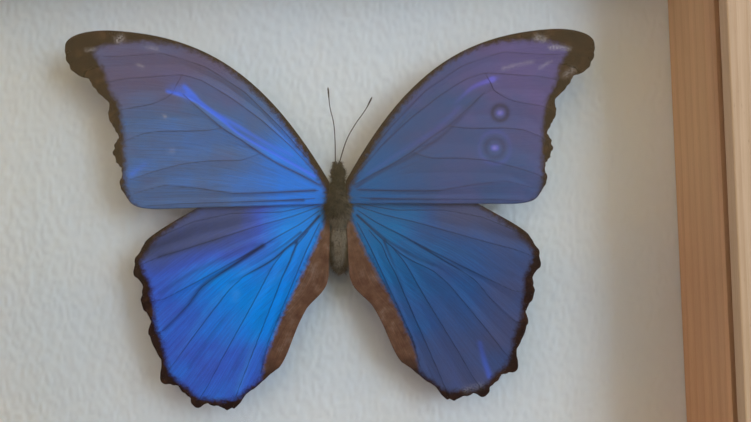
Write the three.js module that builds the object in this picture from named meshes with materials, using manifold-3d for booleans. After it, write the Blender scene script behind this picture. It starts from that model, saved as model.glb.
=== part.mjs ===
// A set blue butterfly in a deep pine box frame, standing upright on its bottom rail.
//
// Millimetres. +X runs to the right as the viewer sees the front, +Z is up, and -Y faces the viewer.
// The origin is the middle of the frame's underside.
import * as THREE from "three";
import { mergeVertices } from "three/addons/utils/BufferGeometryUtils.js";
import Module from "manifold-3d";

const wasm = await Module();
wasm.setup();

// ---------------------------------------------------------------- driving dimensions

const SIGHT_WIDTH = 190; // the opening that is seen, between the lips
const SIGHT_HEIGHT = 150;
const FRAME_DEPTH = 36;
const RAIL_WIDTH = 14; // face of the moulding, outer edge to lip
const REBATE = 6; // how far the lip reaches over the glass
const LIP_THICKNESS = 3;
const GLASS_THICKNESS = 2;
const SPACER_DEPTH = 20; // glass to lining
const LINING_THICKNESS = 0.8;
const FOAM_THICKNESS = 4;
const BACKING_THICKNESS = 2.5;
const CLEARANCE = 0.3; // between pieces that touch on the real object
const MITRE_CLEARANCE = 0.06; // each mitred end stands back by this much

const SPECIMEN_TURN = THREE.MathUtils.degToRad(1.6); // the specimen was set slightly off square
const SPECIMEN_RISE = 6; // the thorax sits this far above the middle of the opening
const WING_THICKNESS = 0.4;
const WING_GAP = 0.4; // the forewing lies this far in front of the hindwing
const PIN_RADIUS = 0.4;
const ANTENNA_RADIUS = 0.25;

// ---------------------------------------------------------------- worked-out sizes and levels

const FRAME_WIDTH = SIGHT_WIDTH + 2 * RAIL_WIDTH;
const FRAME_HEIGHT = SIGHT_HEIGHT + 2 * RAIL_WIDTH;
const WALL = RAIL_WIDTH - REBATE; // thickness of the rail behind its lip
const MID_HEIGHT = FRAME_HEIGHT / 2;
const INSIDE_WIDTH = FRAME_WIDTH - 2 * WALL; // between the rails, behind the lip
const INSIDE_HEIGHT = FRAME_HEIGHT - 2 * WALL;

// Levels along Y, from the front face to the back.
const FRONT = -FRAME_DEPTH / 2;
const GLASS_FRONT = FRONT + LIP_THICKNESS + CLEARANCE;
const SPACER_FRONT = GLASS_FRONT + GLASS_THICKNESS + CLEARANCE;
const LINING_FRONT = SPACER_FRONT + SPACER_DEPTH + CLEARANCE;
const FOAM_FRONT = LINING_FRONT + LINING_THICKNESS + CLEARANCE;
const BACKING_FRONT = FOAM_FRONT + FOAM_THICKNESS + CLEARANCE;
const TAB_FRONT = BACKING_FRONT + BACKING_THICKNESS + CLEARANCE;
const BACK = FRAME_DEPTH / 2;

// ---------------------------------------------------------------- finishes

const finish = (color, roughness, metalness = 0) =>
  new THREE.MeshStandardMaterial({ color, roughness, metalness });

const pine = () => finish(0xc4a27c, 0.55);
const spacerPine = () => finish(0xb28c66, 0.65);
const clearGlass = () =>
  new THREE.MeshStandardMaterial({ color: 0xeef4f4, roughness: 0.05, transparent: true, opacity: 0.2 });
const embossedPaper = () => finish(0xdfe6e6, 0.9);
const foam = () => finish(0xf2f2ee, 0.9);
const hardboard = () => finish(0x7d5a3c, 0.8);
const steel = () => finish(0xb9bcc0, 0.35, 1);
const brass = () => finish(0xb9913f, 0.35, 1);
const blueWing = () => finish(0x1668c8, 0.4);
const darkFur = () => finish(0x463a2c, 0.95);
const darkHorn = () => finish(0x241a14, 0.6);

// ---------------------------------------------------------------- helpers

const root = new THREE.Group();

function piece(name, geometry, material, parent = root) {
  const mesh = new THREE.Mesh(geometry, material);
  mesh.name = name;
  parent.add(mesh);
  return mesh;
}

// A closed three.js mesh as a manifold-3d solid, ready to be joined or cut.
function solid(geometry) {
  const bare = geometry.clone();
  bare.deleteAttribute("normal");
  bare.deleteAttribute("uv");
  const merged = mergeVertices(bare, 1e-4);
  return new wasm.Manifold(
    new wasm.Mesh({
      numProp: 3,
      vertProperties: merged.attributes.position.array,
      triVerts: new Uint32Array(merged.index.array),
    }),
  );
}

function geometryOf(manifold) {
  const mesh = manifold.getMesh();
  return new THREE.BufferGeometry()
    .setAttribute("position", new THREE.BufferAttribute(mesh.vertProperties, 3))
    .setIndex(new THREE.BufferAttribute(mesh.triVerts, 1));
}

const box = (x, y, z, at = [0, 0, 0]) => new THREE.BoxGeometry(x, y, z).translate(...at);

// A flat panel whose front face is at the level `front`, centred on the opening.
const panel = (width, height, thickness, front) =>
  box(width, thickness, height, [0, front + thickness / 2, MID_HEIGHT]);

// A round rod or hole along Y, from one level to the next.
const rodAlongY = (radius, from, to, x, z, sides = 16) =>
  new THREE.CylinderGeometry(radius, radius, to - from, sides).translate(x, (from + to) / 2, z);

// ---------------------------------------------------------------- frame rails

// The moulding's section: x is the inset from the outer face, y the level along Y.
function railSection() {
  const outerRound = 1.2;
  const lipRound = 0.4;
  const lipBack = FRONT + LIP_THICKNESS;
  const section = new THREE.Shape();
  section.moveTo(0, BACK);
  section.lineTo(0, FRONT + outerRound);
  section.absarc(outerRound, FRONT + outerRound, outerRound, Math.PI, 1.5 * Math.PI, false);
  section.lineTo(RAIL_WIDTH - lipRound, FRONT);
  section.absarc(RAIL_WIDTH - lipRound, FRONT + lipRound, lipRound, 1.5 * Math.PI, 2 * Math.PI, false);
  section.lineTo(RAIL_WIDTH, lipBack);
  section.lineTo(WALL, lipBack);
  section.lineTo(WALL, BACK);
  section.closePath();
  return section;
}

// One rail, lying with its outer face down along X and its length centred on the origin. Both ends
// are mitred: each end stands in by as much as the point is inset from the outer face.
function railGeometry(length) {
  const geometry = new THREE.ExtrudeGeometry(railSection(), {
    depth: 1,
    steps: 1,
    bevelEnabled: false,
    curveSegments: 4,
  });
  const position = geometry.attributes.position;
  for (let i = 0; i < position.count; i++) {
    const inset = position.getX(i);
    const level = position.getY(i);
    const end = position.getZ(i) > 0.5 ? 1 : -1;
    position.setXYZ(i, -end * (length / 2 - inset - MITRE_CLEARANCE), level, inset);
  }
  return geometry;
}

// Pockets in a rail for whatever is driven into it.
function withPockets(geometry, pockets) {
  const cut = pockets.reduce((rail, pocket) => rail.subtract(solid(pocket)), solid(geometry));
  return geometryOf(cut);
}

// ---------------------------------------------------------------- back tabs, hanger and nails

const TAB = { width: 9, thickness: 0.6, out: 11, driven: 5 };
const HANGER = { width: 32, height: 6.4, thickness: 0.8, teeth: 9, toothHeight: 1.4, nailSpacing: 25 };
const NAIL = { radius: 0.6, headRadius: 1.5, headThickness: 0.6, length: 9 };

// The pocket that a tab is driven into, on the inner face of a rail, at `along` its length.
const tabPocket = (along) =>
  box(TAB.width + 2 * CLEARANCE, TAB.thickness + 2 * CLEARANCE, TAB.driven + 2 * CLEARANCE, [
    along,
    TAB_FRONT + TAB.thickness / 2,
    WALL - TAB.driven / 2 + CLEARANCE / 2,
  ]);

const nailPocket = (along) =>
  rodAlongY(NAIL.radius + CLEARANCE, BACK - NAIL.length - CLEARANCE, BACK + 1, along, WALL / 2);

// Each side of the frame: where its rail sits, how far it is turned, and what is driven into it.
const SIDES = [
  { name: "bottom", length: FRAME_WIDTH, turn: 0, at: [0, 0, 0], tabs: [-55, 55] },
  { name: "top", length: FRAME_WIDTH, turn: Math.PI, at: [0, 0, FRAME_HEIGHT], tabs: [-55, 55], nails: true },
  { name: "left", length: FRAME_HEIGHT, turn: Math.PI / 2, at: [-FRAME_WIDTH / 2, 0, MID_HEIGHT], tabs: [0] },
  { name: "right", length: FRAME_HEIGHT, turn: -Math.PI / 2, at: [FRAME_WIDTH / 2, 0, MID_HEIGHT], tabs: [0] },
];

// A pointed steel strip: its square end is in the rail, and its blunt point lies over the backing.
function tabGeometry() {
  const half = TAB.width / 2;
  const pointed = TAB.out - 4;
  const outline = new THREE.Shape();
  outline.moveTo(-half, -TAB.driven);
  outline.lineTo(half, -TAB.driven);
  outline.lineTo(half, pointed);
  outline.lineTo(1.5, TAB.out);
  outline.lineTo(-1.5, TAB.out);
  outline.lineTo(-half, pointed);
  outline.closePath();
  return new THREE.ExtrudeGeometry(outline, { depth: TAB.thickness, bevelEnabled: false })
    .rotateX(Math.PI / 2)
    .translate(0, TAB_FRONT + TAB.thickness, WALL);
}

function addSides() {
  let tabNumber = 0;
  for (const side of SIDES) {
    const holder = new THREE.Group();
    holder.position.set(...side.at);
    holder.rotation.y = side.turn;
    root.add(holder);

    const pockets = side.tabs.map(tabPocket);
    if (side.nails) pockets.push(...[-1, 1].map((s) => nailPocket((s * HANGER.nailSpacing) / 2)));
    piece("rail_" + side.name, withPockets(railGeometry(side.length), pockets), pine(), holder);

    for (const along of side.tabs) {
      tabNumber += 1;
      piece("back_tab_" + tabNumber, tabGeometry(), steel(), holder).position.x = along;
    }
  }
}

// The sawtooth strip on the top rail, and the two nails that hold it.
function addHanger() {
  const { width, height, thickness, teeth, toothHeight, nailSpacing } = HANGER;
  const strip = new THREE.Shape();
  const toothed = width - 12;
  const pitch = toothed / teeth;
  strip.moveTo(-width / 2, height / 2);
  strip.lineTo(-width / 2, -height / 2);
  strip.lineTo(-toothed / 2, -height / 2);
  for (let i = 0; i < teeth; i++) {
    const start = -toothed / 2 + i * pitch;
    strip.lineTo(start + pitch / 2, -height / 2 + toothHeight);
    strip.lineTo(start + pitch, -height / 2);
  }
  strip.lineTo(width / 2, -height / 2);
  strip.lineTo(width / 2, height / 2);
  strip.closePath();
  for (const s of [-1, 1]) {
    const hole = new THREE.Path();
    hole.absarc((s * nailSpacing) / 2, 0, NAIL.radius + CLEARANCE, 0, 2 * Math.PI, false);
    strip.holes.push(hole);
  }
  const hangerZ = FRAME_HEIGHT - WALL / 2;
  const hanger = new THREE.ExtrudeGeometry(strip, { depth: thickness, bevelEnabled: false, curveSegments: 8 })
    .rotateX(Math.PI / 2)
    .translate(0, BACK + CLEARANCE + thickness, hangerZ);
  piece("hanger", hanger, steel());

  const headFrom = BACK + 2 * CLEARANCE + thickness;
  const headTo = headFrom + NAIL.headThickness;
  const profile = [
    [0, BACK - NAIL.length],
    [NAIL.radius, BACK - NAIL.length + 1.5],
    [NAIL.radius, headFrom],
    [NAIL.headRadius, headFrom],
    [NAIL.headRadius - 0.3, headTo],
    [0, headTo],
  ].map(([radius, level]) => new THREE.Vector2(radius, level));
  for (const [name, s] of [["left", -1], ["right", 1]]) {
    const nail = piece("hanger_nail_" + name, new THREE.LatheGeometry(profile, 16), brass());
    nail.position.set((s * nailSpacing) / 2, 0, hangerZ);
  }
}

// ---------------------------------------------------------------- glass, spacers, lining and boards

function addSpacers() {
  const thickness = REBATE - CLEARANCE;
  const level = SPACER_FRONT + SPACER_DEPTH / 2;
  const tall = INSIDE_HEIGHT - 2 * CLEARANCE;
  const wide = INSIDE_WIDTH - 2 * REBATE - 2 * CLEARANCE;
  const sideX = SIGHT_WIDTH / 2 + thickness / 2;
  const endZ = SIGHT_HEIGHT / 2 + thickness / 2;
  for (const [name, s] of [["left", -1], ["right", 1]])
    piece("spacer_" + name, box(thickness, SPACER_DEPTH, tall), spacerPine()).position.set(
      s * sideX,
      level,
      MID_HEIGHT,
    );
  for (const [name, s] of [["bottom", -1], ["top", 1]])
    piece("spacer_" + name, box(wide, SPACER_DEPTH, thickness), spacerPine()).position.set(
      0,
      level,
      MID_HEIGHT + s * endZ,
    );
}

// The hole that the specimen's pin leaves in a sheet behind it.
const pinHole = (from, to) =>
  solid(rodAlongY(PIN_RADIUS + CLEARANCE, from, to, SPECIMEN.pinX, SPECIMEN.pinZ));

function addPanels() {
  const width = INSIDE_WIDTH - 2 * CLEARANCE;
  const height = INSIDE_HEIGHT - 2 * CLEARANCE;
  piece("glass", panel(width, height, GLASS_THICKNESS, GLASS_FRONT), clearGlass());

  const lining = solid(panel(width, height, LINING_THICKNESS, LINING_FRONT));
  const throughLining = pinHole(LINING_FRONT - 1, LINING_FRONT + LINING_THICKNESS + 1);
  piece("lining_paper", geometryOf(lining.subtract(throughLining)), embossedPaper());

  const foamBoard = solid(panel(width, height, FOAM_THICKNESS, FOAM_FRONT));
  const intoFoam = pinHole(FOAM_FRONT - 1, PIN_END + CLEARANCE);
  piece("foam_board", geometryOf(foamBoard.subtract(intoFoam)), foam());

  piece("backing_board", panel(width, height, BACKING_THICKNESS, BACKING_FRONT), hardboard());
}

// ---------------------------------------------------------------- the specimen

// The specimen's own frame: its origin is the middle of the thorax at the level of the wings, its z
// runs towards the head, and its x outwards along the right wings.
const SPECIMEN = { x: 0, z: MID_HEIGHT + SPECIMEN_RISE, pinX: 0, pinZ: MID_HEIGHT + SPECIMEN_RISE - 2 };
const THORAX = { width: 3.7, depth: 3.7, length: 6.6, centre: [0, 0.9, -1.8] };
const PIN_START = 2.4; // the pin's top, inside the thorax
const PIN_END = FOAM_FRONT + FOAM_THICKNESS - 1;

// One rounded lobe of a wing's edge, from the pen's place over a crest to the next notch.
function lobe(shape, crestX, crestY, notchX, notchY) {
  const start = shape.currentPoint.clone();
  const crest = new THREE.Vector2(crestX, crestY);
  const notch = new THREE.Vector2(notchX, notchY);
  const along = notch.clone().sub(start).normalize();
  const rise = crest.distanceTo(start) * 0.45;
  const fall = crest.distanceTo(notch) * 0.45;
  const before = crest.clone().addScaledVector(along, -rise);
  const after = crest.clone().addScaledVector(along, fall);
  const leave = start.clone().lerp(crest, 0.3);
  const arrive = notch.clone().lerp(crest, 0.3);
  shape.bezierCurveTo(leave.x, leave.y, before.x, before.y, crest.x, crest.y);
  shape.bezierCurveTo(after.x, after.y, arrive.x, arrive.y, notch.x, notch.y);
}

// The right forewing, in the specimen's x and z.
function forewingOutline() {
  const wing = new THREE.Shape();
  wing.moveTo(3.0, 5.0);
  wing.bezierCurveTo(18.5, 31.5, 33.0, 42.2, 58.5, 43.6); // leading edge
  wing.bezierCurveTo(65.5, 43.8, 71.0, 42.0, 69.9, 38.6); // round tip
  wing.bezierCurveTo(69.6, 34.4, 68.2, 31.8, 64.0, 31.2);
  lobe(wing, 61.9, 27.8, 58.7, 24.8);
  lobe(wing, 58.8, 20.8, 56.7, 16.6);
  lobe(wing, 57.9, 11.4, 55.9, 8.1);
  lobe(wing, 56.3, 3.6, 54.6, 0.4);
  wing.bezierCurveTo(53.6, -1.9, 51.5, -2.4, 47.0, -2.6);
  wing.lineTo(4.6, -1.8); // trailing edge, straight back to the thorax
  wing.closePath();
  return wing;
}

// The right hindwing, whose front edge is hidden behind the forewing.
function hindwingOutline() {
  const wing = new THREE.Shape();
  wing.moveTo(4.4, -0.6);
  wing.bezierCurveTo(14.0, 3.0, 28.0, 2.0, 37.5, -2.6);
  wing.bezierCurveTo(42.0, -5.2, 48.2, -8.4, 50.6, -10.9); // front edge, where it shows
  lobe(wing, 53.7, -17.6, 51.4, -22.7);
  lobe(wing, 51.7, -27.0, 49.5, -31.0);
  lobe(wing, 49.9, -35.6, 46.9, -41.6);
  wing.bezierCurveTo(46.7, -43.5, 47.0, -45.0, 47.1, -46.6); // square lobe
  wing.bezierCurveTo(46.4, -48.8, 43.6, -47.6, 42.0, -49.6);
  wing.lineTo(39.9, -51.6);
  lobe(wing, 38.3, -54.2, 34.9, -53.4);
  lobe(wing, 28.9, -55.0, 25.0, -51.6);
  wing.bezierCurveTo(22.0, -49.6, 18.5, -46.0, 16.2, -44.7); // inner edge
  wing.bezierCurveTo(13.2, -41.0, 12.6, -35.6, 8.6, -29.2);
  wing.bezierCurveTo(6.4, -26.4, 3.0, -25.0, 2.7, -20.5);
  wing.lineTo(3.0, -9.0);
  wing.closePath();
  return wing;
}

// A wing as a thin plate between two levels, mirrored for the left side by its outline.
function wingPlate(outline, front, side) {
  const points = outline.getPoints(6).map((p) => new THREE.Vector2(side * p.x, p.y));
  const shape = new THREE.Shape(points);
  return new THREE.ExtrudeGeometry(shape, { depth: WING_THICKNESS, bevelEnabled: false })
    .rotateX(Math.PI / 2)
    .translate(0, front + WING_THICKNESS, 0);
}

const egg = (rx, ry, rz, [x, y, z], across = 24, along = 18) =>
  new THREE.SphereGeometry(1, across, along).rotateX(Math.PI / 2).scale(rx, ry, rz).translate(x, y, z);

// Head with its eyes and palps, thorax and abdomen: one grown piece.
function bodyGeometry() {
  const abdomen = egg(2.3, 2.3, 7.6, [0, 0, -6.6]).rotateX(0.3).translate(0, 1.2, -7.4);
  const parts = [
    egg(2.3, 2.2, 2.2, [0, 0.4, 6.2]),
    abdomen,
    egg(1.0, 1.1, 1.2, [-1.9, 0.2, 6.9], 12, 10),
    egg(1.0, 1.1, 1.2, [1.9, 0.2, 6.9], 12, 10),
    egg(0.5, 0.6, 1.5, [-0.8, 0.6, 8.4], 10, 8),
    egg(0.5, 0.6, 1.5, [0.8, 0.6, 8.4], 10, 8),
  ];
  const { width, depth, length, centre } = THORAX;
  const grown = parts.reduce((whole, part) => whole.add(solid(part)), solid(egg(width, depth, length, centre)));
  const socket = rodAlongY(
    PIN_RADIUS + CLEARANCE,
    PIN_START - CLEARANCE,
    10,
    SPECIMEN.pinX - SPECIMEN.x,
    SPECIMEN.pinZ - SPECIMEN.z,
  );
  return geometryOf(grown.subtract(solid(socket)));
}

// Each antenna's route from the front of the head to its tip, chosen by hand.
const ANTENNAE = {
  left: [[-0.45, -1.4, 8.2], [-0.4, -2.0, 14], [-0.7, -2.1, 19], [-1.6, -2.2, 23.2], [-2.0, -2.4, 28.1]],
  right: [[0.45, -1.4, 8.3], [2.5, -2.0, 14.4], [4.8, -2.1, 18.5], [7.6, -2.2, 22.4], [9.3, -2.4, 25.5]],
};

function antennaGeometry(points) {
  const route = new THREE.CatmullRomCurve3(points.map((p) => new THREE.Vector3(...p)));
  const section = new THREE.Shape();
  section.absarc(0, 0, ANTENNA_RADIUS, 0, 2 * Math.PI, false);
  return new THREE.ExtrudeGeometry(section, { steps: 24, curveSegments: 4, extrudePath: route });
}

function addSpecimen() {
  const specimen = new THREE.Group();
  specimen.position.set(SPECIMEN.x, 0, SPECIMEN.z);
  specimen.rotation.y = SPECIMEN_TURN;
  root.add(specimen);

  piece("butterfly_body", bodyGeometry(), darkFur(), specimen);
  const forewingFront = -WING_GAP - WING_THICKNESS;
  for (const [name, side] of [["left", -1], ["right", 1]]) {
    piece("forewing_" + name, wingPlate(forewingOutline(), forewingFront, side), blueWing(), specimen);
    piece("hindwing_" + name, wingPlate(hindwingOutline(), 0, side), blueWing(), specimen);
    piece("antenna_" + name, antennaGeometry(ANTENNAE[name]), darkHorn(), specimen);
  }
}

function addPin() {
  const pin = rodAlongY(PIN_RADIUS, PIN_START, PIN_END, SPECIMEN.pinX, SPECIMEN.pinZ);
  piece("mounting_pin", pin, steel());
}

// ---------------------------------------------------------------- assembly

addSides();
addHanger();
addSpacers();
addPanels();
addSpecimen();
addPin();

export default root;
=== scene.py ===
# %% [markdown]
# # A set blue butterfly in a deep pine box frame
# A real butterfly, spread and pinned over embossed paper, behind glass. The solid model gives every
# piece its size and place. This lesson gives the pieces their looks: real relief, hair, grain and
# scales. Each step says what the piece is on the real object, how it could be made, and why it is
# made this way. The model is loaded first, and the size and place of its pieces are read from it.

# %% Load the solid model
import math

import bpy
import numpy as np
from mathutils import Matrix, Vector


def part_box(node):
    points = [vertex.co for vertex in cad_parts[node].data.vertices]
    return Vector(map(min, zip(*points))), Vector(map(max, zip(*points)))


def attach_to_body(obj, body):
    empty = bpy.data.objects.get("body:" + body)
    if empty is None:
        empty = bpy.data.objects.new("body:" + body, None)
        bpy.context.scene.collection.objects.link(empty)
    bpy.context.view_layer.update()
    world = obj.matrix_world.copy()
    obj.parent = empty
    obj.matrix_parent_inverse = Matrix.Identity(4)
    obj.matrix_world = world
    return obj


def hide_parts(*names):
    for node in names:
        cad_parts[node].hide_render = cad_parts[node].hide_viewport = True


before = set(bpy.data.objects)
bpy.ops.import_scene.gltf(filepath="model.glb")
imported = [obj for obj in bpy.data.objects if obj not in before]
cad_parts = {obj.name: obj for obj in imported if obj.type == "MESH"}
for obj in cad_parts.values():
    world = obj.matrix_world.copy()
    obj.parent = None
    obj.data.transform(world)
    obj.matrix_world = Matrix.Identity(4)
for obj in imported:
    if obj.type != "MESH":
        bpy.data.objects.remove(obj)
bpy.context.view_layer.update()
MM = 0.001
FRAME_HEIGHT = 178  # mm, outer
MID_HEIGHT = FRAME_HEIGHT / 2

# %% [markdown]
# ## Small tools for every piece
# Operators work on whatever is selected, and the loaded model arrives selected, so every step
# starts from an empty selection. A finished piece keeps its place in its mesh, with its object at
# the origin, so that patterns on object coordinates stay where they are put. Each piece then rides
# on the model, and may stand in for one of its nodes.

# %% Selecting and finishing helpers
def select_only(*objects):
    bpy.ops.object.select_all(action="DESELECT")
    for thing in objects:
        thing.select_set(True)
    bpy.context.view_layer.objects.active = objects[0] if objects else None


def added(name):
    """The primitive that was just added, under its own name."""
    thing = bpy.context.active_object
    thing.name = thing.data.name = name
    return thing


def settle(thing):
    """Moves an object's place, turn and scale into its mesh."""
    select_only(thing)
    bpy.ops.object.transform_apply(location=True, rotation=True, scale=True)
    return thing


def apply_modifier(thing, kind, **settings):
    select_only(thing)
    modifier = thing.modifiers.new(kind.title(), kind)
    for key, value in settings.items():
        setattr(modifier, key, value)
    bpy.ops.object.modifier_apply(modifier=modifier.name)


def coordinates(mesh):
    flat = np.empty(len(mesh.vertices) * 3)
    mesh.vertices.foreach_get("co", flat)
    return flat.reshape(-1, 3)


def lay(mesh, places):
    mesh.vertices.foreach_set("co", np.asarray(places, dtype=float).ravel())
    mesh.update()


def attach(thing, material, slot, *nodes):
    """Gives a new piece its finish, and lets it stand in for the named nodes."""
    thing.data.materials.clear()
    for finish in material if isinstance(material, list) else [material]:
        thing.data.materials.append(finish)
    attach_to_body(thing, "root")
    if nodes:
        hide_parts(*nodes)
    print(f"{thing.name}: {sum(len(p.vertices) - 2 for p in thing.data.polygons)} triangles")


select_only()

# %% [markdown]
# ## A short way to write node trees
# A finish is a tree of nodes. Written out in full, each node takes five lines, so these helpers add
# one node and join its sockets in one line. A value that is the same all over a surface is set on
# the shader's own socket, and only what varies is linked.

# %% Node helpers
class Finish:
    """A material being built: every method adds one node and hands back its output."""

    def __init__(self, name):
        self.material = bpy.data.materials.new(name)
        self.material.use_nodes = True
        self.tree = self.material.node_tree
        self.shader = self.tree.nodes["Principled BSDF"]

    def node(self, kind, links=(), **settings):
        made = self.tree.nodes.new("ShaderNode" + kind)
        for key, value in settings.items():
            setattr(made, key, value)
        for socket, value in dict(links).items():
            self.plug(made.inputs[socket], value)
        return made

    def plug(self, socket, value):
        if isinstance(value, bpy.types.NodeSocket):
            self.tree.links.new(value, socket)
        elif isinstance(value, (tuple, list)) and len(value) == 3 and len(socket.default_value) == 4:
            socket.default_value = (*value, 1)
        else:
            socket.default_value = value

    def set(self, **values):
        """Sets the shader's sockets by name: set(Base_Color=..., Roughness=...)."""
        for name, value in values.items():
            self.plug(self.shader.inputs[name.replace("_", " ")], value)

    def place(self, scale=(1, 1, 1), rotation=(0, 0, 0), location=(0, 0, 0), source="Object"):
        """Object or UV coordinates, scaled and turned. Object coordinates are turned into mm."""
        spot = self.node("TexCoord").outputs[source]
        unit = 1 / MM if source == "Object" else 1
        links = {
            "Vector": spot,
            "Location": location,
            "Rotation": rotation,
            "Scale": [unit * s for s in scale],
        }
        return self.node("Mapping", links).outputs["Vector"]

    def noise(self, where, scale, detail=3.0, roughness=0.5):
        links = {"Vector": where, "Scale": scale, "Detail": detail, "Roughness": roughness}
        return self.node("TexNoise", links).outputs["Fac"]

    def math(self, operation, a, b=0.0, clamp=False):
        return self.node("Math", {0: a, 1: b}, operation=operation, use_clamp=clamp).outputs[0]

    def span(self, value, low, high, to_low=0.0, to_high=1.0):
        """A smooth step: below `low` gives to_low, above `high` gives to_high."""
        links = {"Value": value, "From Min": low, "From Max": high, "To Min": to_low, "To Max": to_high}
        return self.node("MapRange", links, interpolation_type="SMOOTHSTEP").outputs["Result"]

    def mix(self, share, a, b):
        made = self.node("Mix", data_type="RGBA", clamp_factor=True)
        self.plug(made.inputs[0], share)
        self.plug(made.inputs[6], a)
        self.plug(made.inputs[7], b)
        return made.outputs[2]

    def ramp(self, value, *stops):
        made = self.node("ValToRGB", {"Fac": value})
        points = made.color_ramp.elements
        while len(points) < len(stops):
            points.new(0.5)
        for point, (place, colour) in zip(points, stops):
            point.position = place
            point.color = (*colour, 1)
        return made.outputs["Color"]

    def attribute(self, name):
        return self.node("Attribute", attribute_name=name).outputs["Fac"]

    def bump(self, height, depth_mm, strength):
        links = {"Height": height, "Distance": depth_mm * MM, "Strength": strength}
        return self.node("Bump", links).outputs["Normal"]


def shade(red, green, blue):
    """An everyday screen colour, 0 to 255, as the linear colour that nodes work in."""
    return tuple(
        c / 255 / 12.92 if c / 255 <= 0.04045 else ((c / 255 + 0.055) / 1.055) ** 2.4
        for c in (red, green, blue)
    )


print("finish helpers ready; mid grey is", [round(c, 3) for c in shade(128, 128, 128)])

# %% [markdown]
# ## Camera, studio light and floor
# The frame stands close in front of the viewer, who is a little right of its middle and looks
# slightly to the right, with the head tilted. The light is plain and soft. A tall cool lamp to the
# right makes each wing throw a soft shadow to the left, a wide lamp fills from the left, and a
# small one hangs above. The surround is dim below and pale above with a soft passage between, so
# the upper half of the glass carries a faint sheen. Glass would stop a lamp's direct sampling, so
# the pane casts no shadow. Lamps are then counted by direct sampling only and the surround by
# scattered rays only, so no light is counted twice. Mirror rays don't see the floor.

# %% Camera
VIEWER_EYE = (0.0041, -0.1496, 0.0903)  # m, in the frame's own axes
YAW, PITCH, ROLL = (math.radians(a) for a in (2.17, 0.2, 2.48))
camera_data = bpy.data.cameras.new("viewer")
camera_data.lens = 27.18
camera_data.sensor_width = 36
camera_data.clip_start = 0.005
camera = bpy.data.objects.new("viewer", camera_data)
bpy.context.collection.objects.link(camera)
camera.matrix_world = (
    Matrix.Translation(VIEWER_EYE)
    @ Matrix.Rotation(-YAW, 4, "Z")
    @ Matrix.Rotation(math.pi / 2 + PITCH, 4, "X")
    @ Matrix.Rotation(-ROLL, 4, "Z")
)
bpy.context.scene.camera = camera
bpy.context.scene.view_settings.view_transform = "Standard"

# %% Lamps, world and floor
def soft_lamp(name, place, aim, width, height, watts, colour):
    data = bpy.data.lights.new(name, "AREA")
    data.shape = "RECTANGLE"
    data.size, data.size_y = width, height
    data.energy = watts
    data.color = colour
    lamp = bpy.data.objects.new(name, data)
    bpy.context.collection.objects.link(lamp)
    lamp.location = place
    lamp.rotation_euler = (Vector(aim) - Vector(place)).to_track_quat("-Z", "Y").to_euler()
    lamp.visible_camera = False
    data.cycles.use_multiple_importance_sampling = False
    return lamp


LAMP_AIM = (0, 0, 0.09)  # m, about the middle of the frame
# name, where it stands (m), width and height of the lamp (m), watts, colour
LAMPS = (
    ("key_right", (0.966, -0.870, 0.25), 0.40, 1.2, 9.2, (0.615, 0.78, 1.0)),
    ("fill_left", (-1.052, -0.764, 0.30), 1.30, 1.0, 1.9, (1.0, 0.80, 1.0)),
    ("lamp_above", (0.05, -0.50, 0.55), 0.50, 0.3, 0.31, (1.0, 0.70, 0.35)),
)
for name, place, wide, tall, watts, colour in LAMPS:
    soft_lamp(name, place, LAMP_AIM, wide, tall, watts, colour)

world = bpy.data.worlds.new("studio_surround")
world.use_nodes = True
bpy.context.scene.world = world
sky = world.node_tree
background = sky.nodes["Background"]
direction = sky.nodes.new("ShaderNodeTexCoord")
height = sky.nodes.new("ShaderNodeSeparateXYZ")
tones = sky.nodes.new("ShaderNodeValToRGB")
sky.links.new(direction.outputs["Generated"], height.inputs["Vector"])
half = sky.nodes.new("ShaderNodeMath")
half.operation = "MULTIPLY_ADD"
half.inputs[1].default_value = half.inputs[2].default_value = 0.5
sky.links.new(height.outputs["Z"], half.inputs[0])
sky.links.new(half.outputs[0], tones.inputs["Fac"])
stops = tones.color_ramp.elements
while len(stops) < 4:
    stops.new(0.9)
DIM_BELOW, PALE_SIDES, PALE_TOP = (0.03, 0.03, 0.03), (0.54, 0.43, 0.22), (1.2, 1.08, 0.80)
SURROUND = ((0.44, DIM_BELOW), (0.54, PALE_SIDES), (0.69, PALE_SIDES), (0.80, PALE_TOP))
for stop, (place, colour) in zip(stops, SURROUND):
    stop.position, stop.color = place, (*colour, 1)
sky.links.new(tones.outputs["Color"], background.inputs["Color"])
background.inputs["Strength"].default_value = 1.0
world.cycles.sampling_method = "NONE"

FLOOR_WIDE = 6  # m
bpy.ops.mesh.primitive_plane_add(size=FLOOR_WIDE, location=(0, 0, 0))
floor = added("floor")
settle(floor)
floor_finish = Finish("pale_floor")
cloud = floor_finish.noise(floor_finish.place(), 0.01, 4)
floor_finish.set(
    Base_Color=floor_finish.ramp(cloud, (0.3, (0.66, 0.66, 0.65)), (0.7, (0.70, 0.70, 0.69))),
    Roughness=0.85,
)
floor.data.materials.append(floor_finish.material)
floor.visible_glossy = floor.visible_transmission = False
print("camera, lamps, surround and floor are placed")

# %% [markdown]
# ## Pine: growth rings, fibres and small scars
# The rails are planed pine. A board shows its growth rings as long lines, because it is sawn along
# the trunk. So the pattern is a set of rings about an axis that runs along each rail, some way
# outside it: where a face cuts the rings it shows lines, close together or wide apart, as real
# boards do. Fine fibres and short dark pores are noise stretched along the grain. Every rail gets
# its own axis, so that the mitred corners show two different pieces of wood meeting.

# %% Pine finish
RINGS_PER_MM = 0.36


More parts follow.
